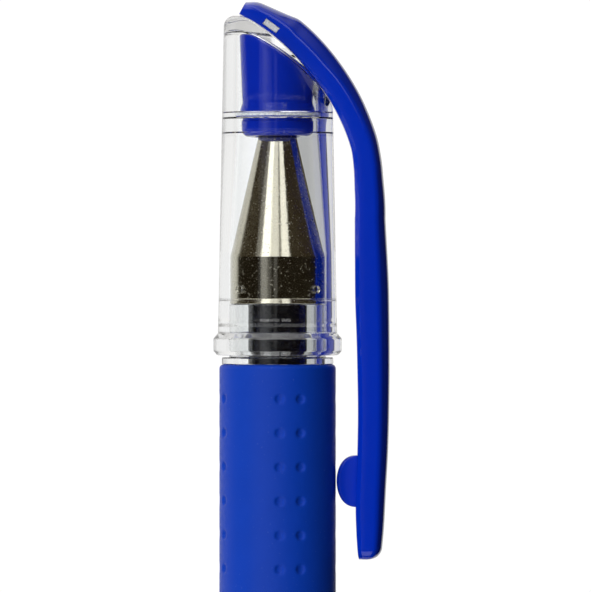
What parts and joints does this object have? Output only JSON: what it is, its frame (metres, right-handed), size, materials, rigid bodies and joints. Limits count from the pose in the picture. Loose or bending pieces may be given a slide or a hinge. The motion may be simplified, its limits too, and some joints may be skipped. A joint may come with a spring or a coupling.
{
  "type": "capped gel pen",
  "caption": "Capped gel pen with a clear barrel, a dimpled rubber grip, a metal nose cone and a clear cap with a sprung blue clip.",
  "frame": {"origin": "middle of the flat foot of the tail plug, on the pen's axis", "axes": "+Z along the pen from the tail to the cap, +X towards the clip"},
  "size_m": [0.0168, 0.0122, 0.1492],
  "materials": {
    "clear_plastic": "clear moulded polystyrene, polished",
    "grip_rubber": "soft blue rubber, satin",
    "blue_plastic": "opaque blue plastic, glossy",
    "refill_plastic": "translucent tube",
    "ink": "dark gel ink",
    "grease": "clear grease",
    "white_plastic": "natural plastic",
    "stainless": "turned stainless steel",
    "carbide": "polished tungsten carbide",
    "plated_metal": "nickel plate over turned brass",
    "seal_rubber": "soft pad"
  },
  "bodies": {
    "pen_barrel": {"barrel": "clear_plastic", "grip_sleeve": "grip_rubber", "tail_plug": "blue_plastic", "refill_tube": "refill_plastic", "ink": "ink", "ink_follower": "grease", "tip_holder": "white_plastic", "point": "stainless", "ball_spring": "stainless"},
    "writing_ball": {"ball": "carbide"},
    "nose": {"nose_cone": "plated_metal"},
    "cap": {"cap_shell": "clear_plastic", "clip_head": "blue_plastic", "inner_cap": "blue_plastic", "tip_seal": "seal_rubber"},
    "clip_spring": {"clip_arm": "blue_plastic"}
  },
  "joints": [
    {"name": "cap_pull", "type": "slide", "parent": "pen_barrel", "child": "cap", "axis": [0, 0, 1], "range_m": [0, 0.032]},
    {"name": "clip_flex", "type": "hinge", "parent": "cap", "child": "clip_spring", "pos_m": [0.00955, 0, 0.136], "axis": [0, -1, 0], "range_deg": [0, 4], "stiffness_Nm_per_rad": 2.9},
    {"name": "nose_turn", "type": "hinge", "parent": "pen_barrel", "child": "nose", "pos_m": [0, 0, 0.121], "axis": [0, 0, 1], "range_deg": [0, 1800]},
    {"name": "ball_roll", "type": "hinge", "parent": "pen_barrel", "child": "writing_ball", "pos_m": [0, 0, 0.14098], "axis": [0, 1, 0], "continuous": true}
  ]
}
